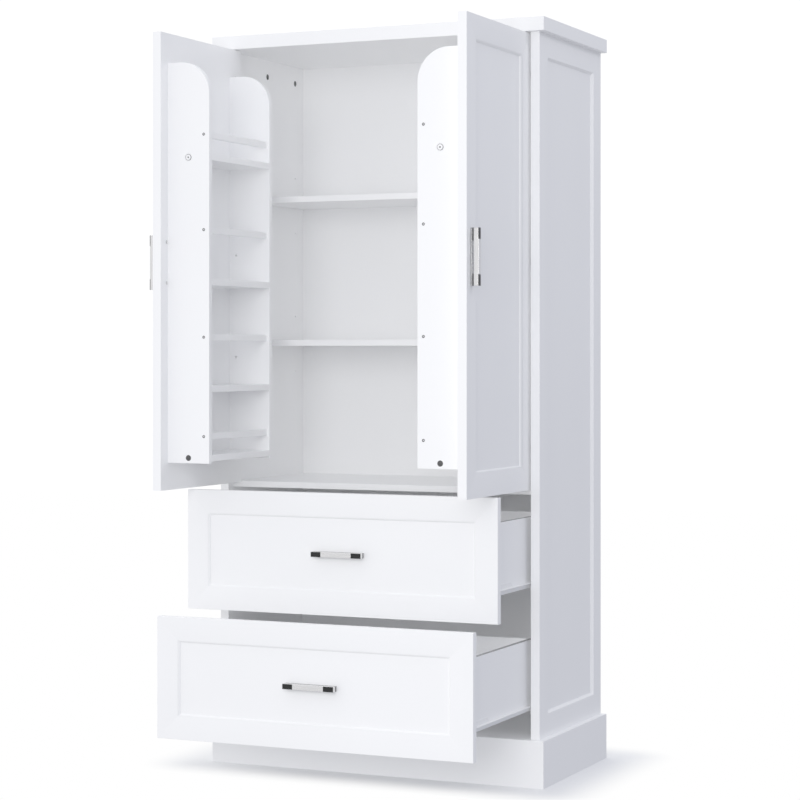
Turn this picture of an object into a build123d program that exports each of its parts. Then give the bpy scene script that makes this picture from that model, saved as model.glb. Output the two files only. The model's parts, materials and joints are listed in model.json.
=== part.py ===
from build123d import *
import os

# Pantry cabinet with two rack doors over two drawers, millimetres.
# Origin: on the floor, at the centre of the plinth's footprint.
# +X to the right seen from the front, +Y towards the wall behind, +Z up.
# Doors and drawers are drawn shut and then moved to their stored position:
# doors open at a right angle, upper drawer part way out, lower drawer nearly out.

# ---------------------------------------------------------------- driving dimensions
width = 845.0              # over the side panels
side_depth = 438.0         # side panels, front edge to rear edge
height = 1800.0
board = 15.0               # carcass, shelf and door boards
strip = 7.0                # applied frame strips on the sides and doors
crown_thickness = 33.5
crown_overhang = 16.5
plinth_height = 111.0
plinth_board = 15.0

frame_flat = 54.5          # flat width of every applied frame strip
frame_bevel = 5.0          # bevel along a strip's inner edge
frame_land = 0.5           # upright step left under the bevel
ease = 0.8                 # rounding of boards' exposed edges
crown_ease = 1.5

floor_top = 697.0          # cupboard floor
floor_setback = 25.0       # its front edge, behind the front plane
back_thickness = 3.0
back_setback = 18.0        # rear face of the back panel, in front of the rear edges
groove_depth = 6.0
groove_play = 0.2

shelf_tops = (1048.0, 1410.0)
shelf_depth = 274.0
shelf_play = 0.5
pin_radius = 2.5
pin_rows = (190.0, 370.0)  # shelf pins, behind the front plane
pin_pitch = 72.0           # spare holes above and below each shelf
pin_seat = 6.0             # pin centre above the underside of the shelf it carries

cam_radius = 7.5
cam_drop = 42.5            # cam centre below the top panel
cam_rows = (55.0, 212.0, 370.0)

door_bottom = 694.0
door_top_gap = 2.0
door_side_gap = 2.0
door_middle_gap = 3.0
pivot_from_edge = 8.5      # hinge line, from the door's hinge edge
pivot_from_face = 5.5      # hinge line, behind the door's front face
hinge_heights = (790.0, 1229.0, 1670.0)
door_handle_height = 1227.0
door_rest_angle = 90.0

rack_free_offset = 33.0    # rack from the door's free edge
rack_width = 320.0
rack_depth = 110.0
rack_bottom = 758.0
rack_top = 1694.0
rack_corner = 75.0
rack_board = 15.0
rack_fixed_shelves = (778.0, 1479.0)
rack_loose_shelves = (939.0, 1188.0)
rack_spare_holes = (1005.0, 1255.0)
rack_rail_heights = (821.0, 1052.0, 1302.0, 1524.0)
rack_rail = 15.0           # square section
rack_rail_setback = 7.0    # rail front behind the rack's front edge

drawer_bottoms = {"lower": 113.0, "upper": 402.0}
drawer_rest_pulls = {"lower": 355.0, "upper": 208.0}
drawer_height = 286.0
drawer_side_gap = 1.0
drawer_strip = 6.0
drawer_board = 12.0
box_rise = 63.5            # box's underside above the front's lower edge
box_height = 164.0
box_half_width = 388.0
box_end = 412.0            # rear of the box when shut, behind the front plane
box_floor_rise = 10.0
box_floor = 4.0
box_groove = 5.0

runner_sheet = 1.5
runner_start = 20.0
roller_radius = 7.2
roller_bore = 2.05
roller_pin = 2.0
roller_rise = 1.5          # roller axis above the box's underside
bay_roller_row = 29.5      # roller axis behind the front plane
drawer_roller_row = 403.0
roller_width = 8.0

handle_length = 128.0
handle_width = 12.0
handle_plate = 4.0
handle_foot = 4.0          # foot height over the plate
handle_foot_length = 27.0
handle_grip = 12.0
handle_inlay = 1.5
handle_inlay_length = 25.0
handle_holes = 96.0
handle_ease = 0.6

screw_radius = 2.0         # handle screws
screw_play = 0.05
screw_head = 4.0
screw_head_height = 2.4

rack_screw = 1.75
rack_screw_head = 3.5
rack_screw_sink = 2.5
rack_screw_bite = 16.0
connector_radius = 2.5
connector_head = 7.0
connector_sink = 2.0
connector_bite = 30.0
cap_recess = 8.2           # round recess of the upper connectors, which wear a cap
tip_play = 1.0             # room left at the blind end of screws, pins and dowels
rack_pin_rows = (18.0, 88.0)
rack_pin_seat = 5.0
rack_pin_bore = 8.0
rack_seat_length = 9.0
rack_dowel_levels = (800.0, 1120.0, 1340.0, 1600.0)
dowel_radius = 4.0
dowel_play = 0.05
dowel_in_door = 9.0
dowel_in_rack = 21.0

pin_play = 0.1
pin_bore = 9.0
pin_reach = 8.0
pin_seat_length = 9.0
cam_depth = 12.5
cam_play = 0.1
cam_slot = 1.0
cam_slot_length = 4.0
bolt_radius = 3.0
bolt_play = 0.5
bolt_way = 3.5
bolt_thread = 2.5
bolt_thread_length = 11.0

hinge_plate = 3.0
hinge_plate_rows = (55.0, 100.0)   # mounting plate, behind the front plane
hinge_plate_half = 27.0            # half its height
hinge_arm_rows = (29.0, 92.0)
hinge_arm_half = 8.0
hinge_hook_rows = (24.5, 31.0)
hinge_rise = 14.5                  # arm's height off the wall
hinge_reach = 28.5                 # hook's reach off the wall
hinge_screw_row = 77.0
hinge_screw_spread = 20.0
hinge_screw_head = 4.2
hinge_screw_rise = 2.2
cup_radius = 17.5
cup_depth = 11.0
cup_from_edge = 22.5
cup_play = 0.1
cup_floor_play = 0.2
cup_lip = 1.0
cup_ear_width = 16.0       # ears above and below the cup, for its two screws
cup_ear_span = 58.0

runner_leg = 14.0
runner_upright = 12.0
runner_tab = 90.0          # taller front stretch of the drawer runner
runner_tab_rise = 10.0
flange_rise = 9.0
channel_under = 7.5        # cabinet runner's underside below the box's underside
channel_rise = 13.0        # its top above the box's underside
channel_lips = (390.5, 391.0)      # inner edges of its lower and upper lips
runner_end_gap = 1.0       # drawer runner's end, in front of the box's rear
roller_gap = 0.4           # side play of a roller on its pin

# ---------------------------------------------------------------- derived values
front = plinth_board - (side_depth + plinth_board) / 2
back = front + side_depth
inner = width / 2 - strip - board
crown_bottom = height - crown_thickness
bottom_top = plinth_height
bottom_under = plinth_height - board
floor_under = floor_top - board
back_rear = back - back_setback
back_face = back_rear - back_thickness
frame_base = frame_flat + frame_bevel
door_thickness = board + strip
door_hinge_x = -inner + door_side_gap
door_free_x = -door_middle_gap / 2
door_top = crown_bottom - door_top_gap
pivot_x = door_hinge_x + pivot_from_edge
pivot_y = front + pivot_from_face
drawer_front = drawer_board + drawer_strip
drawer_half = inner - drawer_side_gap

os.makedirs("parts", exist_ok=True)


# ---------------------------------------------------------------- helpers
def save(part, name):
    """Label a finished piece and write its STEP file."""
    part.label = name
    export_step(part, f"parts/{name}.step")


def group(pieces):
    """Separate solids that share one node."""
    solids = []
    for piece in pieces:
        solids.extend(piece.solids())
    return Compound(solids)


def mirrored(piece):
    """The opposite-hand copy, across the cabinet's middle."""
    return mirror(piece, about=Plane.YZ)


def slab(x_span, y_span, z_span):
    """A rectangular block between three pairs of limits."""
    with BuildSketch(Plane.XY.offset(z_span[0])) as outline:
        with Locations((sum(x_span) / 2, sum(y_span) / 2)):
            Rectangle(x_span[1] - x_span[0], y_span[1] - y_span[0])
    extrude(outline.sketch, amount=z_span[1] - z_span[0])


def cut(x_span, y_span, z_span):
    """Remove a rectangular block from the piece being built."""
    with BuildSketch(Plane.XY.offset(z_span[0])) as outline:
        with Locations((sum(x_span) / 2, sum(y_span) / 2)):
            Rectangle(x_span[1] - x_span[0], y_span[1] - y_span[0])
    extrude(outline.sketch, amount=z_span[1] - z_span[0], mode=Mode.SUBTRACT)


def behind_front(rows):
    """Y limits of a stretch given behind the front plane."""
    return (front + rows[0], front + rows[1])


def drill(points, outward, radius, depth):
    """Blind holes from points on a face, each going in against the outward direction."""
    with Locations(*[Plane(origin=point, z_dir=outward) for point in points]):
        Hole(radius=radius, depth=depth)


def peg(point, direction, radius, length):
    """A round peg that starts at a point and runs along a direction."""
    with BuildSketch(Plane(origin=point, z_dir=direction)) as section:
        Circle(radius)
    extrude(section.sketch, amount=length)


def front_edges(piece):
    """The two long edges of a level board that face the front."""
    return piece.edges().filter_by(Axis.X).group_by(Axis.Y)[0]


def upper_edges(piece):
    """All edges round a board's top face."""
    return piece.faces().sort_by(Axis.Z)[-1].edges()


def box_piece(x_span, y_span, z_span, eased=None):
    """A plain board as a finished piece; eased picks the edges to round."""
    with BuildPart() as piece:
        slab(x_span, y_span, z_span)
        if eased:
            fillet(eased(piece), radius=ease)
    return piece.part


def strip_bar(
    centre, across, outward, length, depth, flat=frame_flat, mitred=False, cope=(), eased=True
):
    """One strip of an applied frame: a flat with a bevelled inner edge and an eased outer edge.

    centre is the middle of its outer edge on the board, across points into the frame's opening.
    A mitred strip has 45 degree ends; a coped strip is cut to fit over the strips it butts against.
    """
    across = Vector(*across)
    outward = Vector(*outward)
    along = across.cross(outward)
    base = flat + frame_bevel
    with BuildPart() as piece:
        with BuildSketch(Plane(origin=centre, x_dir=across, z_dir=along)) as section:
            with BuildLine():
                Polyline((0, 0), (base, 0), (base, frame_land), (flat, depth), (0, depth), close=True)
            make_face()
            if eased:
                fillet(section.vertices().sort_by_distance((0, depth))[0], radius=ease)
        extrude(section.sketch, amount=length / 2, both=True)
        if mitred:
            for side in (1, -1):
                end = Vector(*centre) + along * (side * length / 2)
                split(bisect_by=Plane(origin=end, z_dir=(along * -side) - across), keep=Keep.TOP)
        for other in cope:
            add(other, mode=Mode.SUBTRACT)
    return piece.part


def front_frame(x_span, z_span, y_base, depth):
    """Four mitred strips on a front board; outward is -Y."""
    outward = (0, -1, 0)
    x_mid = sum(x_span) / 2
    z_mid = sum(z_span) / 2
    tall = z_span[1] - z_span[0]
    wide = x_span[1] - x_span[0]
    return [
        strip_bar((x_span[0], y_base, z_mid), (1, 0, 0), outward, tall, depth, mitred=True),
        strip_bar((x_span[1], y_base, z_mid), (-1, 0, 0), outward, tall, depth, mitred=True),
        strip_bar((x_mid, y_base, z_span[0]), (0, 0, 1), outward, wide, depth, mitred=True),
        strip_bar((x_mid, y_base, z_span[1]), (0, 0, -1), outward, wide, depth, mitred=True),
    ]


# ---------------------------------------------------------------- cabinet
def shelf_pin_heights(under):
    """Pin centres for a shelf, with the spare holes above and below."""
    seat = under + pin_seat
    return [seat - pin_pitch, seat, seat + pin_pitch]


def side_board():
    """Right side board, with cam, shelf-pin and bolt bores and the back panel's groove."""
    with BuildPart() as piece:
        slab((inner, inner + board), (front, back), (0, crown_bottom))
        inner_front = piece.edges().filter_by(Axis.Z).group_by(Axis.Y)[0].sort_by(Axis.X)[0]
        fillet(inner_front, radius=ease)
        cut(
            (inner, inner + groove_depth),
            (back_face - groove_play, back_rear + groove_play),
            (bottom_under, crown_bottom),
        )
        cam_points = [(inner, front + row, crown_bottom - cam_drop) for row in cam_rows]
        drill(cam_points, (-1, 0, 0), cam_radius, cam_depth)
        bolt_points = [(inner + board / 2, front + row, crown_bottom) for row in cam_rows]
        drill(bolt_points, (0, 0, 1), bolt_radius + bolt_play, cam_drop)
        pin_points = []
        for top in shelf_tops:
            for level in shelf_pin_heights(top - board):
                pin_points.extend((inner, front + row, level) for row in pin_rows)
        drill(pin_points, (-1, 0, 0), pin_radius + pin_play, pin_bore)
    return piece.part


def side_frame():
    """Right side's applied frame: two full-height stiles, two rails coped between them."""
    face = inner + board
    outward = (1, 0, 0)
    y_mid = (front + back) / 2
    stiles = [
        strip_bar((face, front, crown_bottom / 2), (0, 1, 0), outward, crown_bottom, strip),
        strip_bar((face, back, crown_bottom / 2), (0, -1, 0), outward, crown_bottom, strip),
    ]
    span = side_depth - 2 * frame_flat
    rails = [
        strip_bar((face, y_mid, 0), (0, 0, 1), outward, span, strip,
                  flat=plinth_height + frame_flat, cope=stiles, eased=False),
        strip_bar((face, y_mid, crown_bottom), (0, 0, -1), outward, span, strip, cope=stiles, eased=False),
    ]
    return stiles + rails


def cam_lock(row):
    """Cam disc in the right side board: a slotted disc with a way in for its bolt."""
    centre_z = crown_bottom - cam_drop
    with BuildPart() as piece:
        seat = (inner + cam_depth, front + row, centre_z)
        peg(seat, (-1, 0, 0), cam_radius - cam_play, cam_depth - cam_play)
        cut(
            (inner + board / 2 - bolt_way, inner + board / 2 + bolt_way),
            (front + row - bolt_way, front + row + bolt_way),
            (centre_z - bolt_way, centre_z + cam_radius),
        )
        cut((inner, inner + cam_slot), (front + row - cam_slot, front + row + cam_slot),
            (centre_z - cam_slot_length, centre_z + cam_slot_length))
    return piece.part


def cam_bolt(row):
    """Steel bolt screwed up into the top panel, its head held in the cam."""
    with BuildPart() as piece:
        foot = (inner + board / 2, front + row, crown_bottom - cam_drop)
        peg(foot, (0, 0, 1), bolt_radius, cam_drop)
        head = (inner + board / 2, front + row, crown_bottom)
        peg(head, (0, 0, 1), bolt_thread, bolt_thread_length)
    return piece.part


def top_panel():
    """Thick top panel, with the bores that the cam bolts screw into."""
    with BuildPart() as piece:
        half = width / 2 + crown_overhang
        slab((-half, half), (front - crown_overhang, back), (crown_bottom, height))
        fillet(piece.edges(), radius=crown_ease)
        points = []
        for row in cam_rows:
            for x in (-inner - board / 2, inner + board / 2):
                points.append((x, front + row, crown_bottom))
        drill(points, (0, 0, -1), bolt_thread + screw_play, bolt_thread_length)
    return piece.part


def adjustable_shelf(top):
    """Loose shelf with a seat for each pin, open at the shelf's end."""
    under = top - board
    half = inner - shelf_play
    with BuildPart() as piece:
        rear = back_face - shelf_play
        slab((-half, half), (rear - shelf_depth, rear), (under, top))
        fillet(front_edges(piece), radius=ease)
        for row in pin_rows:
            reach = pin_radius + pin_play
            cut((half - pin_seat_length, half), (front + row - reach, front + row + reach),
                (under, under + pin_seat + reach))
            cut((-half, -half + pin_seat_length), (front + row - reach, front + row + reach),
                (under, under + pin_seat + reach))
    return piece.part


def shelf_pin(level, row):
    """Steel pin in the right side board."""
    with BuildPart() as piece:
        peg((inner + pin_bore, front + row, level), (-1, 0, 0), pin_radius, pin_bore + pin_reach)
    return piece.part


def hinge_arm(level):
    """Left-hand concealed hinge arm on its mounting plate, hooked towards the door's cup."""
    wall = -inner
    with BuildPart() as piece:
        plate_rows = behind_front(hinge_plate_rows)
        arm_rows = behind_front(hinge_arm_rows)
        hook_rows = behind_front(hinge_hook_rows)
        arm_span = (level - hinge_arm_half, level + hinge_arm_half)
        slab((wall, wall + hinge_plate), plate_rows, (level - hinge_plate_half, level + hinge_plate_half))
        slab((wall, wall + hinge_rise), arm_rows, arm_span)
        slab((wall + hinge_rise, wall + hinge_reach), hook_rows, arm_span)
        slab((wall, wall + hinge_rise), (hook_rows[0], arm_rows[0]), arm_span)
        for offset in (-hinge_screw_spread, hinge_screw_spread):
            head = (wall + hinge_plate, front + hinge_screw_row, level + offset)
            peg(head, (1, 0, 0), hinge_screw_head, hinge_screw_rise)
    return piece.part


def cabinet_runner(box_under):
    """Right cabinet runner: a channel on the side board, with the front roller's pin."""
    wall = inner
    web = wall - runner_sheet
    y_span = behind_front((runner_start, box_end))
    low = box_under - channel_under
    high = box_under + channel_rise
    with BuildPart() as piece:
        slab((web, wall), y_span, (low, high))
        slab((channel_lips[0], web), y_span, (low, low + runner_sheet))
        slab((channel_lips[1], web), y_span, (high - runner_sheet, high))
        pin_foot = (web, front + bay_roller_row, box_under + roller_rise)
        peg(pin_foot, (-1, 0, 0), roller_pin, roller_width + 2 * roller_gap)
    return piece.part


def roller(x_start, row, axis_z):
    """Plastic roller with a running bore, for the right side."""
    with BuildPart() as piece:
        with BuildSketch(Plane(origin=(x_start, row, axis_z), z_dir=(1, 0, 0))) as section:
            Circle(roller_radius)
            Circle(roller_bore, mode=Mode.SUBTRACT)
        extrude(section.sketch, amount=roller_width)
    return piece.part


def build_cabinet():
    """Everything that stands still."""
    right_board = side_board()
    save(right_board, "right_side_board")
    save(mirrored(right_board), "left_side_board")
    strips = side_frame()
    save(group(strips), "right_side_frame")
    save(group([mirrored(piece) for piece in strips]), "left_side_frame")
    save(top_panel(), "top_panel")

    depth_span = (front + floor_setback, back_face)
    floor = box_piece((-inner, inner), depth_span, (floor_under, floor_top), eased=front_edges)
    save(floor, "cabinet_floor")
    save(box_piece((-inner, inner), (front, back_face), (bottom_under, bottom_top)), "bottom_panel")
    half_back = inner + groove_depth - groove_play
    split_height = (floor_under + floor_top) / 2
    backs = [
        box_piece((-half_back, half_back), (back_face, back_rear), (bottom_under, split_height)),
        box_piece((-half_back, half_back), (back_face, back_rear), (split_height, crown_bottom)),
    ]
    save(group(backs), "back_panels")

    outer = width / 2 + plinth_board
    plinth_rows = (front - plinth_board, front)
    plinth_front = box_piece((-outer, outer), plinth_rows, (0, plinth_height), eased=upper_edges)
    save(plinth_front, "plinth_front_board")
    plinth_side = box_piece((width / 2, outer), (front, back), (0, plinth_height), eased=upper_edges)
    save(group([plinth_side, mirrored(plinth_side)]), "plinth_side_boards")
    rail_span = (back - 2 * plinth_board, back - plinth_board)
    save(box_piece((-inner, inner), rail_span, (0, bottom_under)), "plinth_rear_rail")
    brace = box_piece((-board / 2, board / 2), (front, rail_span[0]), (0, bottom_under))
    save(brace, "plinth_centre_brace")

    save(group([adjustable_shelf(top) for top in shelf_tops]), "adjustable_shelves")
    pins = []
    for top in shelf_tops:
        pins.extend(shelf_pin(top - board + pin_seat, row) for row in pin_rows)
    save(group(pins + [mirrored(pin) for pin in pins]), "shelf_pins")

    cams = [cam_lock(row) for row in cam_rows]
    save(group(cams + [mirrored(cam) for cam in cams]), "cam_locks")
    bolts = [cam_bolt(row) for row in cam_rows]
    save(group(bolts + [mirrored(bolt) for bolt in bolts]), "cam_bolts")
    arms = [hinge_arm(level) for level in hinge_heights]
    save(group(arms + [mirrored(arm) for arm in arms]), "hinge_arms")

    runners = [cabinet_runner(low + box_rise) for low in drawer_bottoms.values()]
    save(group(runners + [mirrored(piece) for piece in runners]), "cabinet_runners")
    for name, low in drawer_bottoms.items():
        inner_face = inner - runner_sheet - roller_gap - roller_width
        wheel = roller(inner_face, front + bay_roller_row, low + box_rise + roller_rise)
        save(group([wheel, mirrored(wheel)]), f"{name}_bay_rollers")


# ---------------------------------------------------------------- handles
def handle_pieces(centre, along, board_depth):
    """Bar handle on a front face at centre, outward -Y, with screws through a board behind.

    Returns the dark base with its end inlays, the bright grip and the two screws.
    """
    plane = Plane(origin=centre, x_dir=along, z_dir=(0, -1, 0))
    grip_base = handle_plate + handle_foot
    inlay_base = grip_base + handle_grip - handle_inlay
    foot_shift = (handle_length - handle_foot_length) / 2
    inlay_shift = (handle_length - handle_inlay_length) / 2
    tips = [(-handle_holes / 2, 0), (handle_holes / 2, 0)]

    with BuildPart() as base:
        with BuildSketch(plane) as plate:
            Rectangle(handle_length, handle_width)
        extrude(plate.sketch, amount=handle_plate)
        with BuildSketch(plane.offset(handle_plate)) as feet:
            with Locations((-foot_shift, 0), (foot_shift, 0)):
                Rectangle(handle_foot_length, handle_width)
        extrude(feet.sketch, amount=handle_foot)
        with BuildSketch(plane) as holes:
            with Locations(*tips):
                Circle(screw_radius + screw_play)
        extrude(holes.sketch, amount=grip_base - tip_play, mode=Mode.SUBTRACT)

    inlays = []
    for shift in (-inlay_shift, inlay_shift):
        with BuildPart() as inlay:
            with BuildSketch(plane.offset(inlay_base)) as outline:
                with Locations((shift, 0)):
                    Rectangle(handle_inlay_length, handle_width)
            extrude(outline.sketch, amount=handle_inlay)
        inlays.append(inlay.part)

    with BuildPart() as grip:
        with BuildSketch(plane.offset(grip_base)) as bar:
            Rectangle(handle_length, handle_width)
        extrude(bar.sketch, amount=handle_grip)
        with BuildSketch(plane.offset(inlay_base)) as seats:
            with Locations((-inlay_shift, 0), (inlay_shift, 0)):
                Rectangle(handle_inlay_length, handle_width)
        extrude(seats.sketch, amount=handle_inlay, mode=Mode.SUBTRACT)
        lengthwise = grip.edges().filter_by(Axis(centre, along))
        unbroken = handle_length - handle_inlay_length
        fillet(lengthwise.filter_by(lambda edge: edge.length > unbroken), radius=handle_ease)

    screws = []
    for tip in tips:
        with BuildPart() as screw:
            with BuildSketch(plane.offset(-board_depth)) as shank:
                with Locations(tip):
                    Circle(screw_radius)
            extrude(shank.sketch, amount=board_depth + grip_base - 2 * tip_play)
            with BuildSketch(plane.offset(-board_depth - screw_head_height)) as head:
                with Locations(tip):
                    Circle(screw_head)
            extrude(head.sketch, amount=screw_head_height)
        screws.append(screw.part)
    return group([base.part] + inlays), grip.part, group(screws)


# ---------------------------------------------------------------- doors
def door_panel():
    """Left door's board, shut, with bores for cups, handle screws and rack dowels."""
    face = front + strip
    with BuildPart() as piece:
        slab((door_hinge_x, door_free_x), (face, face + board), (door_bottom, door_top))
        fillet(piece.faces().sort_by(Axis.Y)[-1].edges(), radius=ease)
        cups = [(door_hinge_x + cup_from_edge, face + board, level) for level in hinge_heights]
        drill(cups, (0, 1, 0), cup_radius, cup_depth + cup_floor_play)
        screws = []
        for offset in (-handle_holes / 2, handle_holes / 2):
            screws.append((door_free_x - frame_flat / 2, face, door_handle_height + offset))
        drill(screws, (0, -1, 0), screw_radius + screw_play, board)
        dowels = []
        for x in rack_panel_middles():
            dowels.extend((x, face + board, level) for level in rack_dowel_levels)
        drill(dowels, (0, 1, 0), dowel_radius + dowel_play, dowel_in_door)
    return piece.part


def door_strips():
    """Left door's front frame; the free-edge stile is bored for the handle screws."""
    face = front + strip
    pieces = front_frame((door_hinge_x, door_free_x), (door_bottom, door_top), face, strip)
    with BuildPart() as free_stile:
        add(pieces[1])
        points = []
        for offset in (-handle_holes / 2, handle_holes / 2):
            points.append((door_free_x - frame_flat / 2, front, door_handle_height + offset))
        drill(points, (0, -1, 0), screw_radius + screw_play, strip)
    pieces[1] = free_stile.part
    return pieces


def hinge_cup(level):
    """Pressed cup of a concealed hinge, in the left door's back."""
    rear = front + door_thickness
    x = door_hinge_x + cup_from_edge
    rim = Plane(origin=(x, rear, level), x_dir=(1, 0, 0), z_dir=(0, 1, 0))
    with BuildPart() as piece:
        with BuildSketch(rim.offset(-cup_depth)) as body:
            Circle(cup_radius - cup_play)
        extrude(body.sketch, amount=cup_depth)
        with BuildSketch(rim) as flange:
            Circle(cup_radius + cup_lip)
            Rectangle(cup_ear_width, cup_ear_span)
        extrude(flange.sketch, amount=cup_lip)
        with BuildSketch(rim.offset(cup_lip - cup_depth)) as hollow:
            Circle(cup_radius - 2 * cup_lip)
        extrude(hollow.sketch, amount=cup_depth, mode=Mode.SUBTRACT)
    return piece.part


def rack_panel_middles():
    """Mid-thickness of the rack's two side panels, free-edge side first."""
    free = door_free_x - rack_free_offset - board / 2
    return [free, free - rack_width + board]


def is_level_x(edge):
    """Whether an edge runs straight along X."""
    return edge.geom_type == GeomType.LINE and abs(edge.tangent_at(0).X) > 0.5


def rack_side(x_mid, screw_direction):
    """A rack side panel with its top front corner rounded."""
    near = front + door_thickness
    far = near + rack_depth
    x_span = (x_mid - board / 2, x_mid + board / 2)
    outer_x = x_mid + screw_direction * board / 2
    inner_x = x_mid - screw_direction * board / 2
    with BuildPart() as piece:
        slab(x_span, (near, far), (rack_bottom, rack_top))
        corner = piece.edges().filter_by(Axis.X).group_by(Axis.Y)[-1].sort_by(Axis.Z)[-1]
        fillet(corner, radius=rack_corner)
        outline = [edge for edge in piece.edges() if edge.center().Y > near + ease and not is_level_x(edge)]
        fillet(outline, radius=ease)
        outward = (screw_direction, 0, 0)
        rails = [(outer_x, rack_rail_y(), level) for level in rack_rail_heights]
        drill(rails, outward, rack_screw + screw_play, board)
        drill(rails, outward, rack_screw_head + screw_play, rack_screw_sink)
        middle = near + rack_depth / 2
        joints = [(outer_x, middle, top - rack_board / 2) for top in rack_fixed_shelves]
        drill(joints, outward, connector_radius + screw_play, board)
        drill(joints, outward, connector_head + screw_play, connector_sink)
        drill(joints[1:], outward, cap_recess, connector_sink)
        pins = []
        for row in rack_pin_rows:
            for top in rack_loose_shelves:
                pins.append((inner_x, near + row, top - rack_board + rack_pin_seat))
        pins.extend((inner_x, near + rack_pin_rows[0], level) for level in rack_spare_holes)
        drill(pins, (-screw_direction, 0, 0), pin_radius + pin_play, rack_pin_bore)
        dowels = [(x_mid, near, level) for level in rack_dowel_levels]
        drill(dowels, (0, -1, 0), dowel_radius + dowel_play, dowel_in_rack)
    return piece.part


def rack_rail_y():
    """Centre line of the rack's retaining rails, door shut."""
    return front + door_thickness + rack_depth - rack_rail_setback - rack_rail / 2


def rack_inner_span():
    """Clear width between the rack's side panels."""
    free, hinge = rack_panel_middles()
    return (hinge + board / 2, free - board / 2)


def rack_shelf(top, fixed):
    """Rack shelf; a fixed one is bored for connectors, a loose one seats on pins."""
    near = front + door_thickness
    x_span = rack_inner_span()
    gap = 0 if fixed else shelf_play
    under = top - rack_board
    with BuildPart() as piece:
        slab((x_span[0] + gap, x_span[1] - gap), (near + gap, near + rack_depth), (under, top))
        fillet(piece.edges().filter_by(Axis.X).group_by(Axis.Y)[-1], radius=ease)
        if fixed:
            middle = near + rack_depth / 2
            for x, way in ((x_span[0], -1), (x_span[1], 1)):
                mouth = (x, middle, top - rack_board / 2)
                drill([mouth], (way, 0, 0), connector_radius + screw_play, connector_bite)
        else:
            reach = pin_radius + pin_play
            for row in rack_pin_rows:
                y_span = (near + row - reach, near + row + reach)
                z_span = (under, under + rack_pin_seat + reach)
                cut((x_span[0], x_span[0] + rack_seat_length), y_span, z_span)
                cut((x_span[1] - rack_seat_length, x_span[1]), y_span, z_span)
    return piece.part


def rack_rail_bar(level):
    """Square retaining rail across the rack's front."""
    x_span = rack_inner_span()
    y_mid = rack_rail_y()
    with BuildPart() as piece:
        half = rack_rail / 2
        slab(x_span, (y_mid - half, y_mid + half), (level - half, level + half))
        fillet(piece.edges().filter_by(Axis.X), radius=ease)
        for x, way in ((x_span[0], -1), (x_span[1], 1)):
            drill([(x, y_mid, level)], (way, 0, 0), rack_screw + screw_play, rack_screw_bite)
    return piece.part


def headed_screw(point, direction, radius, head_radius, head, length):
    """Flush-headed screw: head from the panel's outer face, shank inwards."""
    start = Vector(*point)
    way = Vector(*direction)
    with BuildPart() as piece:
        peg(start, way, head_radius, head)
        peg(start + way * head, way, radius, length - head)
        with BuildSketch(Plane(origin=start, z_dir=way)) as socket:
            Rectangle(head_radius, head_radius / 4)
            Rectangle(head_radius / 4, head_radius)
        extrude(socket.sketch, amount=head / 2, mode=Mode.SUBTRACT)
    return piece.part


def rack_fasteners():
    """Rail screws, shelf connectors, loose shelves' pins and the dowels into the door."""
    near = front + door_thickness
    free, hinge = rack_panel_middles()
    pieces = []
    for x_mid, way in ((free, 1), (hinge, -1)):
        outer_x = x_mid + way * board / 2
        inner_x = x_mid - way * board / 2
        for level in rack_rail_heights:
            pieces.append(headed_screw((outer_x, rack_rail_y(), level), (-way, 0, 0), rack_screw,
                                       rack_screw_head, rack_screw_sink, board + rack_screw_bite - tip_play))
        for top in rack_fixed_shelves:
            point = (outer_x, near + rack_depth / 2, top - rack_board / 2)
            pieces.append(headed_screw(point, (-way, 0, 0), connector_radius, connector_head,
                                       connector_sink, board + connector_bite - tip_play))
        for row in rack_pin_rows:
            for top in rack_loose_shelves:
                level = top - rack_board + rack_pin_seat
                with BuildPart() as pin:
                    peg((inner_x + way * rack_pin_bore, near + row, level), (-way, 0, 0), pin_radius,
                        rack_pin_bore + rack_seat_length - tip_play)
                pieces.append(pin.part)
        for level in rack_dowel_levels:
            with BuildPart() as dowel:
                tip = (x_mid, near - dowel_in_door + tip_play / 2, level)
                peg(tip, (0, 1, 0), dowel_radius, dowel_in_door + dowel_in_rack - tip_play)
            pieces.append(dowel.part)
    return group(pieces)


def left_door_shut():
    """All pieces of the left door in its shut position, by name."""
    free, hinge = rack_panel_middles()
    handle_centre = (door_free_x - frame_flat / 2, front, door_handle_height)
    base, grip, screws = handle_pieces(handle_centre, (0, 0, 1), door_thickness)
    shelves = [rack_shelf(top, True) for top in rack_fixed_shelves]
    shelves.extend(rack_shelf(top, False) for top in rack_loose_shelves)
    return {
        "door_panel": door_panel(),
        "door_frame": group(door_strips()),
        "door_handle_base": base,
        "door_handle_grip": grip,
        "door_handle_screws": screws,
        "hinge_cups": group([hinge_cup(level) for level in hinge_heights]),
        "rack_sides": group([rack_side(free, 1), rack_side(hinge, -1)]),
        "rack_shelves": group(shelves),
        "rack_rails": group([rack_rail_bar(level) for level in rack_rail_heights]),
        "rack_fasteners": rack_fasteners(),
    }


def build_doors():
    """Both doors, swung open to their stored position."""
    pivot = Axis((pivot_x, pivot_y, 0), (0, 0, 1))
    for name, piece in left_door_shut().items():
        opened = piece.rotate(pivot, -door_rest_angle)
        save(opened, f"left_{name}")
        save(mirrored(opened), f"right_{name}")


# ---------------------------------------------------------------- drawers
def drawer_front_board(low):
    """Drawer front's board, bored for the handle screws."""
    face = front + drawer_strip
    with BuildPart() as piece:
        slab((-drawer_half, drawer_half), (face, face + drawer_board), (low, low + drawer_height))
        points = [(x, face, low + drawer_height / 2) for x in (-handle_holes / 2, handle_holes / 2)]
        drill(points, (0, -1, 0), screw_radius + screw_play, drawer_board)
    return piece.part


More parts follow.
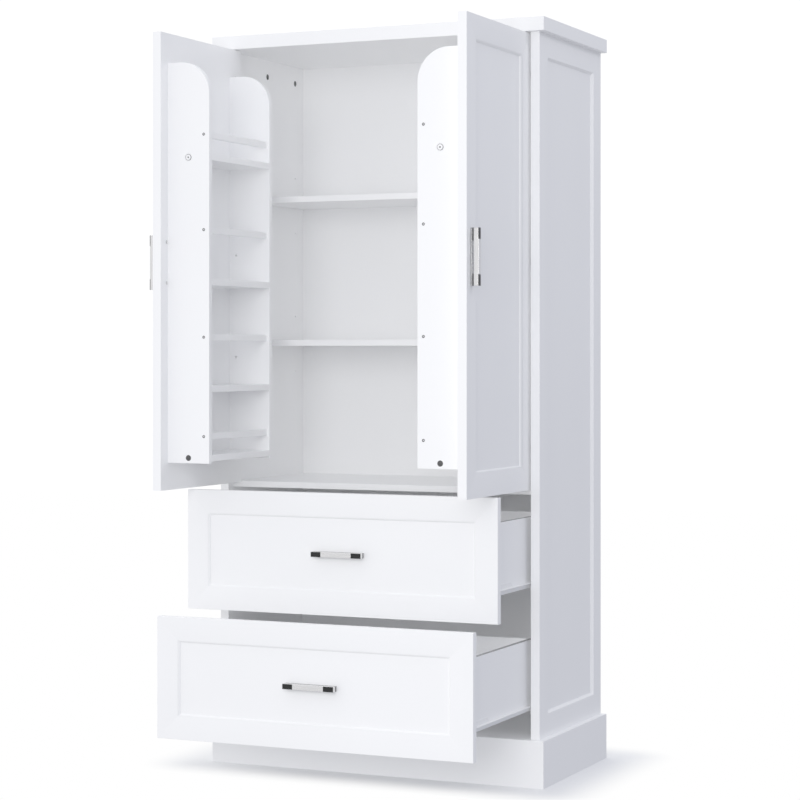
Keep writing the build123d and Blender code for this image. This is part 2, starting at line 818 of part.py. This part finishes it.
def drawer_side(under):
    """Right drawer side, grooved for the drawer's bottom."""
    x_span = (box_half_width - drawer_board, box_half_width)
    y_span = (front + drawer_front, front + box_end)
    floor_low = under + box_floor_rise
    with BuildPart() as piece:
        slab(x_span, y_span, (under, under + box_height))
        fillet(piece.edges().filter_by(Axis.Y).group_by(Axis.Z)[-1], radius=ease)
        cut((x_span[0], x_span[0] + box_groove + groove_play), y_span,
            (floor_low - groove_play, floor_low + box_floor + groove_play))
    return piece.part


def drawer_runner(under):
    """Right drawer runner: sheet-metal angle under the side, with a flange and the rear roller's pin."""
    side = box_half_width
    start = front + runner_start
    end = front + box_end - runner_end_gap
    web = (side, side + runner_sheet)
    with BuildPart() as piece:
        slab((side - runner_leg, side + runner_sheet), (start, end), (under - runner_sheet, under))
        with BuildSketch(Plane(origin=(web[0], 0, 0), x_dir=(0, 1, 0), z_dir=(1, 0, 0))) as upright:
            with BuildLine():
                Polyline(
                    (start, under),
                    (end, under),
                    (end, under + runner_upright),
                    (start + runner_tab + runner_tab_rise, under + runner_upright),
                    (start + runner_tab, under + runner_upright + runner_tab_rise),
                    (start, under + runner_upright + runner_tab_rise),
                    close=True,
                )
            make_face()
        extrude(upright.sketch, amount=runner_sheet)
        flange = under + flange_rise
        slab((web[1], web[1] + roller_width), (start, end), (flange, flange + runner_sheet))
        pin_foot = (web[1], front + drawer_roller_row, under + roller_rise)
        peg(pin_foot, (1, 0, 0), roller_pin, roller_width + 2 * roller_gap)
    return piece.part


def build_drawer(name, low, pull):
    """One drawer, pulled out to its stored position."""
    under = low + box_rise
    face = front + drawer_strip
    out = Location((0, -pull, 0))
    strips = front_frame((-drawer_half, drawer_half), (low, low + drawer_height), face, drawer_strip)
    side = drawer_side(under)
    runner = drawer_runner(under)
    inside = box_half_width - drawer_board
    floor_low = under + box_floor_rise
    back_board = box_piece(
        (-inside, inside),
        (front + box_end - drawer_board, front + box_end),
        (floor_low + box_floor, under + box_height),
        eased=lambda piece: piece.edges().filter_by(Axis.X).group_by(Axis.Z)[-1],
    )
    floor_half = inside + box_groove
    floor = box_piece(
        (-floor_half, floor_half),
        (front + drawer_front, front + box_end),
        (floor_low, floor_low + box_floor),
    )
    handle_centre = (0, face, low + drawer_height / 2)
    base, grip, screws = handle_pieces(handle_centre, (1, 0, 0), drawer_board)
    inner_face = box_half_width + runner_sheet + roller_gap
    wheel = roller(inner_face, front + drawer_roller_row, under + roller_rise)
    pieces = {
        "front": drawer_front_board(low),
        "frame": group(strips),
        "sides": group([side, mirrored(side)]),
        "back": back_board,
        "bottom": floor,
        "runners": group([runner, mirrored(runner)]),
        "rollers": group([wheel, mirrored(wheel)]),
        "handle_base": base,
        "handle_grip": grip,
        "handle_screws": screws,
    }
    for suffix, piece in pieces.items():
        save(piece.moved(out), f"{name}_drawer_{suffix}")


build_cabinet()
build_doors()
for drawer_name, drawer_low in drawer_bottoms.items():
    build_drawer(drawer_name, drawer_low, drawer_rest_pulls[drawer_name])
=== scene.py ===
import json
import math

import bmesh
import bpy
from mathutils import Matrix, Vector

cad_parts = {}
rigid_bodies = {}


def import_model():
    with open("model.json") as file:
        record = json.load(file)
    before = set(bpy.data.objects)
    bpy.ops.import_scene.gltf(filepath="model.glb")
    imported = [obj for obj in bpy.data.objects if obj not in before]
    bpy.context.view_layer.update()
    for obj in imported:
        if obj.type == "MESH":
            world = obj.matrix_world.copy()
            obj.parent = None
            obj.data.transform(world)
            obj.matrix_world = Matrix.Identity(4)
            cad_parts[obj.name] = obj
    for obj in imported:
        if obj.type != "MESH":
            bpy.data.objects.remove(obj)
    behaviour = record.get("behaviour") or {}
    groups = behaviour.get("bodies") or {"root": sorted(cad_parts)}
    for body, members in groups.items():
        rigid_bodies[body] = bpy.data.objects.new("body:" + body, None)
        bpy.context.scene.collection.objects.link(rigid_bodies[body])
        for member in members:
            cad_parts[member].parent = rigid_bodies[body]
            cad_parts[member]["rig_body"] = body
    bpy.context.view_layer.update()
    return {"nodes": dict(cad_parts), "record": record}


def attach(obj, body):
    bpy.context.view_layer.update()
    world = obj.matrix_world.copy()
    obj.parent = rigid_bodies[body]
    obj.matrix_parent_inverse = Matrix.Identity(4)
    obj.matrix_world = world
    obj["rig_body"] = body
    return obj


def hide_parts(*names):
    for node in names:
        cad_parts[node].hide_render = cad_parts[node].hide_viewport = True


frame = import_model()
nodes = frame["nodes"]
slots = {entry["node"]: entry["material_slot"] for entry in frame["record"]["subparts"]}
scene = bpy.context.scene

MM = 0.001

# Each front that carries a handle, with the way its outer face looks at rest.
FRONTS = (("left_door", (-1, 0, 0)), ("right_door", (1, 0, 0)),
          ("upper_drawer", (0, -1, 0)), ("lower_drawer", (0, -1, 0)))

# ---------------------------------------------------------------- camera
camera = bpy.data.objects.new("camera", bpy.data.cameras.new("camera"))
scene.collection.objects.link(camera)
camera.location = (2.2882, -5.2157, 1.0176)
camera.rotation_euler = (math.radians(90), 0, math.radians(24.7))
camera.data.sensor_width = 36.0
camera.data.lens = 102.638
camera.data.shift_x = 0.0375
camera.data.shift_y = -0.060
camera.data.clip_end = 60
scene.camera = camera
scene.view_settings.view_transform = "Standard"
scene.view_settings.gamma = 1.25


# ---------------------------------------------------------------- node helpers
class Shading:
    """Short ways to add and link nodes in one node tree."""

    def __init__(self, tree):
        self.tree = tree

    def add(self, kind, inputs=None, **settings):
        node = self.tree.nodes.new(kind)
        for key, value in settings.items():
            setattr(node, key, value)
        for key, value in (inputs or {}).items():
            self.feed(node.inputs[key], value)
        return node

    def feed(self, socket, value):
        if isinstance(value, bpy.types.NodeSocket):
            self.tree.links.new(value, socket)
        else:
            socket.default_value = value

    def span(self, value, low, high, from_low=0.3, from_high=0.7):
        """The value laid onto low to high; the usual range is that of a noise texture."""
        wanted = {"Value": value, "From Min": from_low, "From Max": from_high,
                  "To Min": low, "To Max": high}
        return self.add("ShaderNodeMapRange", wanted).outputs["Result"]

    def maths(self, operation, a, b):
        return self.add("ShaderNodeMath", {0: a, 1: b}, operation=operation).outputs[0]

    def vectors(self, operation, *values):
        """The outputs of vector maths: "Vector", and "Value" for a length or a dot product."""
        wanted = dict(enumerate(values))
        return self.add("ShaderNodeVectorMath", wanted, operation=operation).outputs

    def part(self, vector, axis):
        return self.add("ShaderNodeSeparateXYZ", {"Vector": vector}).outputs[axis]

    def mix(self, factor, a, b):
        node = self.add("ShaderNodeMix", {"Factor": factor}, data_type="RGBA")
        self.feed(node.inputs["A"], a)
        self.feed(node.inputs["B"], b)
        return node.outputs["Result"]


class Finish(Shading):
    """A node material whose textures lie in the row frame's metres."""

    def __init__(self, name):
        self.material = bpy.data.materials.new(name)
        self.material.use_nodes = True
        super().__init__(self.material.node_tree)
        self.shader = self.tree.nodes["Principled BSDF"]
        self.coords = self.add("ShaderNodeTexCoord").outputs["Object"]

    def set(self, **inputs):
        for key, value in inputs.items():
            self.feed(self.shader.inputs[key.replace("_", " ")], value)

    def noise(self, scale, detail, vector=None):
        source = self.coords if vector is None else vector
        wanted = {"Vector": source, "Scale": scale, "Detail": detail}
        return self.add("ShaderNodeTexNoise", wanted).outputs["Fac"]

    def stretched_noise(self, x, y, z):
        """Fine noise with its own number of features per metre along each axis."""
        wanted = {"Vector": self.coords, "Scale": (x, y, z)}
        return self.noise(1.0, 3.0, self.add("ShaderNodeMapping", wanted).outputs[0])

    def bump(self, height, strength, depth, under=None):
        """A bump's normal, laid over the one under it if there is one."""
        wanted = {"Height": height, "Strength": strength, "Distance": depth}
        if under is not None:
            wanted["Normal"] = under
        return self.add("ShaderNodeBump", wanted).outputs["Normal"]


# ---------------------------------------------------------------- materials
# Texture scales, in features per metre.
CLOUDS = 2.2
SHEEN = 14.0
WAVES = 26.0
METAL_PATCHES = 60.0
FLECKS = 160.0
ORANGE_PEEL = 620.0
SCRATCHES = 900.0
LINES_LENGTHWISE = 25.0
LINES_ACROSS = 2400.0

FACES_UP = 0.8              # a face whose normal rises more than this counts as a top edge and gets the painted top shadow
NICKEL = (1.0, 0.99, 0.975)


def grey(value, blue=0.0):
    return (value, value + blue * 0.4, value + blue, 1.0)


def lacquer(name, tone=0.965, gloss=0.34, peel=1.0, top_shadow_tone=None):
    """Sprayed white board with faint mottling, orange peel and uneven sheen.

    The last argument, when given, is the tone of a grey band on the faces that look up: painted
    shade that stands in for a shadow line.
    """
    f = Finish(name)
    cloud = f.noise(CLOUDS, 3.0)
    fleck = f.noise(FLECKS, 2.0)
    base = f.mix(f.span(cloud, 0.0, 1.0), grey(tone - 0.012, 0.002), grey(tone + 0.008, 0.003))
    colour = f.mix(f.span(fleck, 0.0, 0.22), base, grey(tone - 0.03, 0.002))
    # Painted shade: the faces that look up turn grey, in place of the shadow line along a top edge.
    if top_shadow_tone is not None:
        upward = f.part(f.add("ShaderNodeNewGeometry").outputs["Normal"], "Z")
        band = f.mix(f.span(fleck, 0.0, 1.0), grey(top_shadow_tone - 0.03), grey(top_shadow_tone + 0.03))
        colour = f.mix(f.maths("GREATER_THAN", upward, FACES_UP), colour, band)
    roughness = f.span(f.noise(SHEEN, 3.0), gloss - 0.04, gloss + 0.05)
    slow = f.bump(f.noise(WAVES, 1.0), 0.10 * peel, 0.4 * MM)
    fine = f.bump(f.noise(ORANGE_PEEL, 1.0), 0.16 * peel, 0.06 * MM, under=slow)
    f.set(Base_Color=colour, Roughness=roughness, Normal=fine)
    f.set(Coat_Weight=0.12, Coat_Roughness=0.18)
    return f.material


def metal(name, tone, rough):
    """Plain metal with fine scratches and uneven shine."""
    f = Finish(name)
    scratch = f.stretched_noise(SCRATCHES, SCRATCHES, SCRATCHES)
    f.set(Base_Color=f.mix(f.span(scratch, 0.0, 1.0), grey(tone * 0.9), grey(tone * 1.05)))
    f.set(Roughness=f.span(f.noise(METAL_PATCHES, 2.0), rough - 0.05, rough + 0.08))
    f.set(Metallic=1.0, Normal=f.bump(scratch, 0.15, 0.02 * MM))
    return f.material


def satin_nickel(name, along):
    """Satin nickel with fine lines that run along one axis."""
    f = Finish(name)
    lines = f.stretched_noise(*(LINES_LENGTHWISE if axis == along else LINES_ACROSS
                                for axis in range(3)))
    tone, rough = 0.80, 0.24
    low = tuple(tone * 0.93 * part for part in NICKEL) + (1.0,)
    high = tuple(tone * 1.04 * part for part in NICKEL) + (1.0,)
    f.set(Base_Color=f.mix(f.span(lines, 0.0, 1.0), low, high))
    f.set(Roughness=f.span(lines, rough - 0.03, rough + 0.05))
    f.set(Metallic=1.0, Normal=f.bump(lines, 0.10, 0.01 * MM))
    return f.material


def assign(material, *names):
    for name in names:
        mesh = nodes[name].data
        mesh.materials.clear()
        mesh.materials.append(material)


finishes = {
    "white_board": lacquer("white_lacquer"),
    "white_hardboard": lacquer("white_hardboard", tone=0.945, gloss=0.45, peel=0.6),
    "handle_dark": metal("dark_coating", 0.03, 0.38),
    "handle_bright": satin_nickel("satin_nickel_upright", along=2),
    "bright_steel": metal("bright_steel", 0.62, 0.28),
    "zinc": metal("dark_zinc", 0.10, 0.42),
    "hinge_steel": metal("nickel_plate", 0.66, 0.25),
    "white_runner": lacquer("powder_coat", tone=0.90, gloss=0.40, peel=1.4),
    "roller_plastic": lacquer("nylon", tone=0.86, gloss=0.42, peel=0.5),
}
# Painted shade, not edge banding: the drawer sides' up-facing top edges get a grey band in place of
# the shadow line along them.
painted_top_shadow = lacquer("edge_banded_board", top_shadow_tone=0.32)
level_nickel = satin_nickel("satin_nickel_level", along=0)
plate_metal = metal("grey_plate", 0.42, 0.26)
cap_white = lacquer("cap_plastic", tone=0.955, gloss=0.30, peel=0.4)

for name, slot in slots.items():
    assign(finishes[slot], name)
assign(painted_top_shadow, "upper_drawer_sides", "lower_drawer_sides")

# ---------------------------------------------------------------- mesh helpers
JOIN = 0.002 * MM           # vertices closer than this are one
STILL_FLAT = math.radians(0.5)
SHADED_SHARP = math.radians(35.0)
ROUNDED_OVER = math.radians(40.0)


def publish(name, bm, material, body, stands_for=()):
    """The built mesh as a named piece that rides on a body and may stand for CAD nodes."""
    mesh = bpy.data.meshes.new(name)
    bm.to_mesh(mesh)
    bm.free()
    mesh.polygons.foreach_set("use_smooth", [True] * len(mesh.polygons))
    mesh.set_sharp_from_angle(angle=SHADED_SHARP)
    mesh.materials.append(material)
    piece = bpy.data.objects.new(name, mesh)
    scene.collection.objects.link(piece)
    even = piece.modifiers.new("even_shading", "WEIGHTED_NORMAL")
    even.mode = "FACE_AREA"
    even.keep_sharp = True
    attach(piece, body)
    if stands_for:
        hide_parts(*stands_for)
    return piece


def rebuilt(node, ending, bm, material=None):
    """Publish a mesh in a CAD node's place, on its body, in its slot's finish or in the material
    given.
    """
    slot = slots[node]
    body = nodes[node]["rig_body"]
    return publish(node + ending, bm, material or finishes[slot], body, (node,))


def join_doubles(bm):
    bmesh.ops.remove_doubles(bm, verts=bm.verts, dist=JOIN)


def join_flat(bm):
    """Join doubled vertices and merge the triangles of each flat face."""
    join_doubles(bm)
    bmesh.ops.dissolve_limit(bm, angle_limit=STILL_FLAT, verts=bm.verts, edges=bm.edges)


def cad_copy(node):
    """A CAD node's mesh with its vertices joined and its flat faces merged."""
    bm = bmesh.new()
    bm.from_mesh(nodes[node].data)
    join_flat(bm)
    return bm


def ease_edges(bm, width):
    """Round every clear edge by the width, or by less where short edges nearby clamp the bevel."""
    sharp = [edge for edge in bm.edges
             if len(edge.link_faces) == 2 and edge.calc_face_angle() > ROUNDED_OVER]
    bmesh.ops.bevel(bm, geom=sharp, offset=width, segments=2, profile=0.5, affect="EDGES",
                    clamp_overlap=True)


def refine(node, width, material=None):
    """A CAD node rebuilt with rounded edges, in the same place and finish."""
    bm = cad_copy(node)
    ease_edges(bm, width)
    rebuilt(node, "_eased", bm, material)


def islands(node):
    """(lowest corner, highest corner) of each separate solid in a CAD node."""
    bm = bmesh.new()
    bm.from_mesh(nodes[node].data)
    join_doubles(bm)
    left = set(bm.verts)
    boxes = []
    while left:
        reached = [left.pop()]
        low = reached[0].co.copy()
        high = low.copy()
        while reached:
            vert = reached.pop()
            for axis in range(3):
                low[axis] = min(low[axis], vert.co[axis])
                high[axis] = max(high[axis], vert.co[axis])
            for edge in vert.link_edges:
                other = edge.other_vert(vert)
                if other in left:
                    left.remove(other)
                    reached.append(other)
        boxes.append((low, high))
    bm.free()
    return sorted(boxes, key=lambda box: tuple(box[0]))


def turned(profile, steps=40):
    """A solid of revolution about local Z from (radius, height) points, axis to axis."""
    bm = bmesh.new()
    rings = []
    for radius, height in profile:
        if radius == 0:
            rings.append([bm.verts.new((0, 0, height))])
            continue
        ring = []
        for k in range(steps):
            turn = 2 * math.pi * k / steps
            ring.append(bm.verts.new((radius * math.cos(turn), radius * math.sin(turn), height)))
        rings.append(ring)
    for lower, upper in zip(rings, rings[1:]):
        for k in range(steps):
            after = (k + 1) % steps
            corners = [lower[k % len(lower)], lower[after % len(lower)],
                       upper[after % len(upper)], upper[k % len(upper)]]
            bm.faces.new(list(dict.fromkeys(corners)))
    bmesh.ops.recalc_face_normals(bm, faces=bm.faces)
    return bm


def turned_mm(*profile):
    """A solid of revolution from (radius, height) points in millimetres."""
    return turned([(radius * MM, height * MM) for radius, height in profile])


def carve(bm, cutters):
    """The mesh with each cutter's shape taken out."""
    mesh = bpy.data.meshes.new("carved")
    bm.to_mesh(mesh)
    bm.free()
    target = bpy.data.objects.new("carved", mesh)
    scene.collection.objects.link(target)
    tools = []
    for cutter in cutters:
        tool_mesh = bpy.data.meshes.new("cutter")
        cutter.to_mesh(tool_mesh)
        cutter.free()
        tool = bpy.data.objects.new("cutter", tool_mesh)
        scene.collection.objects.link(tool)
        tools.append(tool)
        cut = target.modifiers.new("cut", "BOOLEAN")
        cut.operation = "DIFFERENCE"
        cut.solver = "EXACT"
        cut.object = tool
    bpy.context.view_layer.update()
    evaluated = target.evaluated_get(bpy.context.evaluated_depsgraph_get())
    result = bpy.data.meshes.new_from_object(evaluated)
    for made in [target] + tools:
        data = made.data
        bpy.data.objects.remove(made)
        bpy.data.meshes.remove(data)
    carved = bmesh.new()
    carved.from_mesh(result)
    bpy.data.meshes.remove(result)
    return carved


def facing(point, way):
    """The matrix that puts local Z along way at a point."""
    turn = Vector(way).to_track_quat("Z", "Y").to_matrix().to_4x4()
    return Matrix.Translation(point) @ turn


def gathered(parts):
    """One mesh from (mesh, matrix) pairs; each source mesh is kept."""
    bm = bmesh.new()
    for source, matrix in parts:
        mesh = bpy.data.meshes.new("part")
        source.to_mesh(mesh)
        mesh.transform(matrix)
        bm.from_mesh(mesh)
        bpy.data.meshes.remove(mesh)
    return bm


# ---------------------------------------------------------------- hinges, locks, pins and runners
# The rounding asked for. The clamp in ease_edges leaves the hinge arms and cam locks about 0.1 mm
# and the runners 0.14 to 0.23 mm.
EASED = (
    (0.5 * MM, ("hinge_arms", "cam_locks", "shelf_pins", "left_hinge_cups", "right_hinge_cups")),
    (0.35 * MM, ("cabinet_runners", "upper_drawer_runners", "lower_drawer_runners")),
    (0.8 * MM, ("upper_bay_rollers", "upper_drawer_rollers",
                "lower_bay_rollers", "lower_drawer_rollers")),
)
for width, names in EASED:
    for name in names:
        refine(name, width)

# ---------------------------------------------------------------- handles
GRIP_EDGE = 0.7 * MM        # asked for; the clamp leaves 0.6 mm
BASE_EDGE = 0.5 * MM        # asked for; the clamp leaves 0.07 to 0.5 mm, different on each handle
PLATE = 4.0 * MM            # the backplate's thickness, and each foot's height over it
SLACK = 0.02                # in plate thicknesses, when a face is sorted by its height


def handle_base(owner, outward):
    """A handle's backplate in grey metal, its feet in zinc and its inlays in dark coating."""
    node = f"{owner}_handle_base"
    outward = Vector(outward)
    bm = cad_copy(node)
    ease_edges(bm, BASE_EDGE)
    root = min(vert.co.dot(outward) for vert in bm.verts)
    everything = bm.verts[:] + bm.edges[:] + bm.faces[:]
    bmesh.ops.bisect_plane(bm, geom=everything, plane_co=outward * (root + PLATE), plane_no=outward)
    inlay, plate, foot = range(3)
    for face in bm.faces:
        height = (face.calc_center_median().dot(outward) - root) / PLATE - SLACK
        face.material_index = plate if height < 1 else foot if height < 2 else inlay
    piece = rebuilt(node, "_eased", bm)
    piece.data.materials.append(plate_metal)
    piece.data.materials.append(finishes["zinc"])


for owner, outward in FRONTS:
    refine(f"{owner}_handle_grip", GRIP_EDGE, level_nickel if owner.endswith("drawer") else None)
    handle_base(owner, outward)

# ---------------------------------------------------------------- mitred frames
# The chamfer's reach asked for at a joint. The frames' rounded edges have 0.09 mm facets, which
# clamp each chamfer to about 0.016 mm wide, so no groove can be seen.
SEAM = 0.5 * MM
JOINT_ANGLE = math.radians(30.0)    # the two faces at a joint turn by more than this
SEEN_FROM_FRONT = 0.3       # how far the normal of a face that shows leans outward
SQUARE = 0.01               # slack on a normal at right angles to the front
DIAGONAL = 0.02             # slack on a normal halfway between two axes
INWARDS = 0.1 * MM          # how far into its own strip a face's middle is moved


def strip_of(point, low, high, across):
    """Which of a frame's four strips a point is in: the one whose outer edge is nearest."""
    gaps = []
    for axis in across:
        gaps.extend((point[axis] - low[axis], high[axis] - point[axis]))
    return gaps.index(min(gaps))


def is_mitre(face, outward):
    """Whether a face is one of the 45 degree ends that lie against the next strip."""
    flat = sorted(abs(part) for part in face.normal)
    return abs(face.normal.dot(outward)) < SQUARE and abs(flat[1] - flat[2]) < DIAGONAL


def is_joint(edge, outward):
    """Whether an edge is where a mitred end meets a face that can be seen from the front."""
    if len(edge.link_faces) != 2 or edge.calc_face_angle() < JOINT_ANGLE:
        return False
    leans = max(face.normal.dot(outward) for face in edge.link_faces)
    return leans > SEEN_FROM_FRONT and any(is_mitre(face, outward) for face in edge.link_faces)


def seam(node, outward):
    """A mitred frame rebuilt strip by strip, with a hairline chamfer where the strips meet."""
    outward = Vector(outward)
    across = [axis for axis in range(3) if not outward[axis]]
    source = nodes[node].data
    low = [min(vert.co[axis] for vert in source.vertices) for axis in range(3)]
    high = [max(vert.co[axis] for vert in source.vertices) for axis in range(3)]
    whole = bmesh.new()
    for strip in range(4):
        bm = bmesh.new()
        bm.from_mesh(source)
        others = []
        for face in bm.faces:
            point = face.calc_center_median() - face.normal * INWARDS
            if strip_of(point, low, high, across) != strip:
                others.append(face)
        bmesh.ops.delete(bm, geom=others, context="FACES")
        join_flat(bm)
        joints = [edge for edge in bm.edges if is_joint(edge, outward)]
        bmesh.ops.bevel(bm, geom=joints, offset=SEAM, segments=1, affect="EDGES",
                        clamp_overlap=True)
        mesh = bpy.data.meshes.new("strip")
        bm.to_mesh(mesh)
        bm.free()
        whole.from_mesh(mesh)
        bpy.data.meshes.remove(mesh)
    rebuilt(node, "_seamed", whole)


for owner, outward in FRONTS:
    seam(f"{owner}_frame", outward)

# ---------------------------------------------------------------- screws and connectors
HANDLE_SCREW_RISE = 2.4 * MM
RIM = 0.35                  # the share of a round head's rise that its upright rim takes
OVERLAP = 0.1 * MM          # keeps faces that would lie on each other apart
PINCH = 0.6                 # a recess's floor against its mouth
CONNECTOR_MIN = 13 * MM     # only the connectors' heads are this tall
RAIL_SCREW_MIN = 25 * MM    # pins and dowels are shorter than this from front to back
RACK_MIDDLE = 1.2           # the height in metres that parts upper from lower connectors


def cross_cutters(length, width, depth, top):
    """Two bars crossing at right angles, narrower at their foot, that carve a screw's recess."""
    cutters = []
    for turn in (0, 90):
        bar = bmesh.new()
        for vert in bmesh.ops.create_cube(bar, size=1.0)["verts"]:
            shrink = 1.0 if vert.co.z > 0 else PINCH
            vert.co = Vector((vert.co.x * length * shrink, vert.co.y * width * shrink,
                              (vert.co.z - 0.5) * depth + OVERLAP))
        bar.transform(Matrix.Translation((0, 0, top)) @ Matrix.Rotation(math.radians(turn), 4, "Z"))
        cutters.append(bar)
    return cutters


def domed_screw(head, rise, shank, length):
    """A round-headed screw with a cross recess; local Z points out of the head, 0 is under it."""
    dome = [(0, -length), (shank * 0.6, -length), (shank, -length + shank), (shank, 0), (head, 0),
            (head, rise * RIM)]
    for k in range(1, 6):
        turn = math.radians(15 * k)
        dome.append((head * math.cos(turn), rise * (RIM + (1 - RIM) * math.sin(turn))))
    dome.append((0, rise))
    cutters = cross_cutters(length=head * 1.15, width=head * 0.26, depth=rise * 0.8, top=rise)
    return carve(turned(dome), cutters)


def crossed_dome(radius, rise):
    """A low dome with a cross recess, sunk a little under local z = 0."""
    dome = [(0, -OVERLAP), (radius, -OVERLAP), (radius, rise * 0.4), (radius * 0.8, rise * 0.8),
            (radius * 0.4, rise), (0, rise)]
    cutters = cross_cutters(length=radius * 1.2, width=radius * 0.3, depth=rise * 0.7, top=rise)
    return carve(turned(dome, steps=24), cutters)


def handle_screws(owner, way):
    """The two screws behind a handle, heads out along way."""
    node = f"{owner}_handle_screws"
    parts = []
    source = None
    for low, high in islands(node):
        axis = max(range(3), key=lambda k: high[k] - low[k])
        across = 1 if axis == 0 else 0
        head = (high[across] - low[across]) / 2
        centre = (low + high) / 2
        tip = high if way[axis] > 0 else low
        centre[axis] = tip[axis] - way[axis] * HANDLE_SCREW_RISE
        if source is None:
            length = high[axis] - low[axis] - HANDLE_SCREW_RISE
            source = domed_screw(head, HANDLE_SCREW_RISE, head / 2, length)
        parts.append((source, facing(centre, way)))
    rebuilt(node, "_crossed", gathered(parts))
    source.free()


def rack_heads(side):
    """What shows in a rack's holes: white caps on the upper connectors, crossed heads elsewhere."""
    cap = turned_mm((0, -0.2), (6.0, -0.2), (6.4, 0.1), (6.4, 0.6), (6.0, 1.0), (5.0, 1.2),
                    (2.2, 1.3), (2.0, 0.3), (0, 0.3))
    # Partly painted shade: the dark zinc rivet in each cap's dimple stands for a head seen through
    # the cap, and also darkens the dimple more than its depth would.
    shade_rivet = turned_mm((0, 0.1), (1.9, 0.1), (1.8, 0.6), (1.2, 0.8), (0, 0.85))
    small = crossed_dome(radius=1.7 * MM, rise=0.5 * MM)
    large = crossed_dome(radius=2.8 * MM, rise=0.8 * MM)
    panels = sorted(islands(f"{side}_rack_sides"), key=lambda box: box[0].y)
    front, back = panels[0][0].y, panels[1][1].y
    capped, screws, connectors = [], [], []
    for low, high in islands(f"{side}_rack_fasteners"):
        size = high - low
        if size.y < RAIL_SCREW_MIN:
            continue
        on_front = abs(low.y - front) < abs(high.y - back)
        centre = (low + high) / 2
        centre.y = front if on_front else back
        place = facing(centre, (0, -1 if on_front else 1, 0))
        if size.z < CONNECTOR_MIN:
            screws.append((small, place))
        elif low.z < RACK_MIDDLE:
            connectors.append((large, place))
        else:
            capped.append(place)
    for kind, parts, material, slot in (
            ("caps", [(cap, place) for place in capped], cap_white, "roller_plastic"),
            ("cap_rivets", [(shade_rivet, place) for place in capped], finishes["zinc"], "zinc"),
            ("screw_heads", screws, finishes["bright_steel"], "bright_steel"),
            ("connector_heads", connectors, finishes["zinc"], "zinc")):
        publish(f"{side}_rack_{kind}", gathered(parts), material, f"{side}_door")
    for source in (cap, shade_rivet, small, large):
        source.free()


for owner, outward in FRONTS:
    handle_screws(owner, tuple(-part for part in outward))
for side in ("left", "right"):
    rack_heads(side)

# ---------------------------------------------------------------- world
# The studio's light grows towards the upper left and dims, bluish, to the right.
AMBIENT = 0.70
LEAN = (-0.33, 0.02, 0.22)
LEFT_HUE = (0.975, 0.985, 1.02, 1.0)
RIGHT_HUE = (0.90, 0.94, 1.11, 1.0)
PURE_WHITE = (1.0, 1.0, 1.0, 1.0)

scene.cycles.max_bounces = 16
scene.cycles.diffuse_bounces = 10

world = bpy.data.worlds.new("studio")
scene.world = world
world.use_nodes = True
sky = Shading(world.node_tree)
studio = sky.tree.nodes["Background"]
way = sky.add("ShaderNodeTexCoord").outputs["Generated"]
brightness = sky.maths("ADD", sky.vectors("DOT_PRODUCT", way, LEAN)["Value"], AMBIENT)
rightward = sky.span(sky.part(way, "X"), 0.0, 1.0, from_low=-0.2, from_high=1.0)
sky.feed(studio.inputs["Color"], sky.mix(rightward, LEFT_HUE, RIGHT_HUE))
sky.feed(studio.inputs["Strength"], brightness)
backdrop = sky.add("ShaderNodeBackground", {"Color": PURE_WHITE, "Strength": 1.05})
seen = sky.add("ShaderNodeMixShader", {
    0: sky.add("ShaderNodeLightPath").outputs["Is Camera Ray"],
    1: studio.outputs[0],
    2: backdrop.outputs[0],
})
sky.feed(sky.tree.nodes["World Output"].inputs["Surface"], seen.outputs[0])


# ---------------------------------------------------------------- lights
def area_light(name, place, target, size, power):
    light = bpy.data.lights.new(name, "AREA")
    light.shape = "DISK"
    light.size = size
    light.energy = power
    lamp = bpy.data.objects.new(name, light)
    scene.collection.objects.link(lamp)
    lamp.location = place
    lamp.rotation_euler = (Vector(target) - Vector(place)).to_track_quat("-Z", "Y").to_euler()
    lamp.visible_camera = False


area_light("key", place=(1.1, -4.7, 1.6), target=(0.0, 0.0, 1.0), size=2.2, power=62)
area_light("side_glow", place=(2.4, -0.2, 2.9), target=(0.4, 0.0, 1.6), size=1.2, power=7)

# ---------------------------------------------------------------- floor
FLOOR_REACH = 9.0
SHADED_HALF = (0.45, 0.25, 0.0)     # the floor keeps its shadow this far from the origin,
FADE_OVER = 0.16                    # and turns pure white over this much more

floor_mesh = bpy.data.meshes.new("floor")
floor = bpy.data.objects.new("floor", floor_mesh)
scene.collection.objects.link(floor)
floor.visible_diffuse = False
floor.visible_glossy = False
corners = [(x * FLOOR_REACH, y * FLOOR_REACH, 0) for x, y in ((-1, -1), (1, -1), (1, 1), (-1, 1))]
floor_mesh.from_pydata(corners, [], [(0, 1, 2, 3)])
pale = Finish("pale_floor")
away = pale.vectors("ABSOLUTE", pale.coords)["Vector"]
away = pale.vectors("SUBTRACT", away, SHADED_HALF)["Vector"]
away = pale.vectors("MAXIMUM", away, (0.0, 0.0, 0.0))["Vector"]
away = pale.vectors("LENGTH", away)["Value"]
fade = pale.add("ShaderNodeMapRange", {"Value": away, "From Min": 0.0, "From Max": FADE_OVER},
                interpolation_type="SMOOTHSTEP").outputs["Result"]
pale.set(Base_Color=(0.88, 0.885, 0.89, 1.0), Roughness=0.9)
white_out = pale.add("ShaderNodeEmission", {"Color": PURE_WHITE, "Strength": 1.0})
blend = pale.add("ShaderNodeMixShader", {
    0: fade,
    1: pale.shader.outputs[0],
    2: white_out.outputs[0],
})
pale.feed(pale.tree.nodes["Material Output"].inputs["Surface"], blend.outputs[0])
floor_mesh.materials.append(pale.material)
